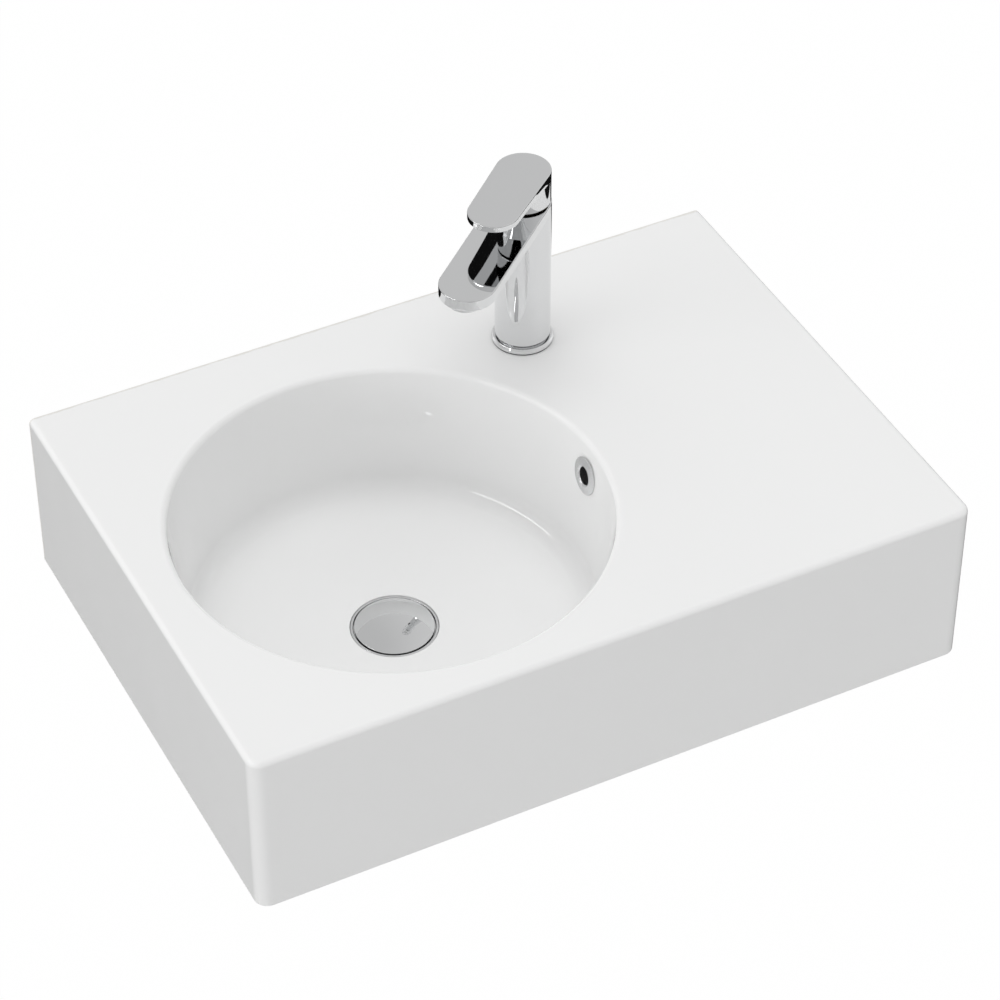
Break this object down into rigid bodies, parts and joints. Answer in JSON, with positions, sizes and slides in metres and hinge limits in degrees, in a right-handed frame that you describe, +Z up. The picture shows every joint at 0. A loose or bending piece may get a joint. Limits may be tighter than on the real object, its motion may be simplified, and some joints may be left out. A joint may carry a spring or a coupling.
{
  "type": "wall-hung basin",
  "caption": "Wall-hung rectangular ceramic basin with a round off-centre bowl, a flat side shelf, a single-lever mixer tap and a push waste.",
  "frame": {"origin": "point on the flat back face midway between the two wall fixing holes", "axes": "+X to the right seen from the front, +Y into the wall, +Z up"},
  "size_m": [0.6, 0.425, 0.3682],
  "materials": {
    "glazed_white": "smooth white glaze",
    "chrome": "polished chrome plate",
    "satin_chrome": "satin chrome plate",
    "brass": "machined brass",
    "steel": "zinc-plated steel",
    "black_rubber": "moulded rubber",
    "white_plastic": "moulded white plastic",
    "dark_plastic": "moulded dark plastic",
    "disc_ceramic": "lapped alumina"
  },
  "bodies": {
    "basin": {"basin_body": "glazed_white", "overflow_ring": "satin_chrome", "overflow_sleeve": "dark_plastic", "waste_body": "chrome", "waste_top_gasket": "black_rubber", "waste_lower_gasket": "black_rubber", "waste_slip_washer": "white_plastic", "waste_back_nut": "brass", "click_sleeve": "brass", "click_spring": "steel", "tap_body": "chrome", "base_ring": "chrome", "base_gasket": "black_rubber", "aerator_housing": "chrome", "aerator_insert": "white_plastic", "aerator_seal": "black_rubber", "cartridge_housing": "dark_plastic", "cartridge_base": "white_plastic", "cartridge_seals": "black_rubber", "fixed_disc": "disc_ceramic", "cartridge_nut": "brass", "fixing_stud": "steel", "horseshoe_gasket": "black_rubber", "horseshoe_washer": "steel", "stud_nut": "brass"},
    "plug": {"plug_cap": "chrome", "plug_seal": "black_rubber", "plug_stem": "brass"},
    "mixing_disc": {"moving_disc": "disc_ceramic", "disc_carrier": "white_plastic"},
    "temperature_rotor": {"lever_rotor": "white_plastic", "pivot_pin": "steel"},
    "mixer_lever": {"lever": "chrome", "lever_spindle": "brass", "lever_screw": "steel", "screw_cap": "chrome"}
  },
  "joints": [
    {"name": "plug_slide", "type": "slide", "parent": "basin", "child": "plug", "axis": [0, 0, 1], "range_m": [0, 0.009], "deforming": ["click_spring"]},
    {"name": "lever_swivel", "type": "hinge", "parent": "basin", "child": "temperature_rotor", "pos_m": [0.091, -0.083, 0.2214], "axis": [0, 0, 1], "range_deg": [-45, 45]},
    {"name": "lever_lift", "type": "hinge", "parent": "temperature_rotor", "child": "mixer_lever", "pos_m": [0.091, -0.083, 0.2306], "axis": [-0.6561, 0.7547, 0], "range_deg": [0, 20]},
    {"name": "disc_slide", "type": "slide", "parent": "temperature_rotor", "child": "mixing_disc", "axis": [-0.7547, -0.6561, 0], "range_m": [0, 0.00458]}
  ],
  "couplings": [
    {"joint": "disc_slide", "follows": "lever_lift", "m_per_rad": 0.0131}
  ]
}
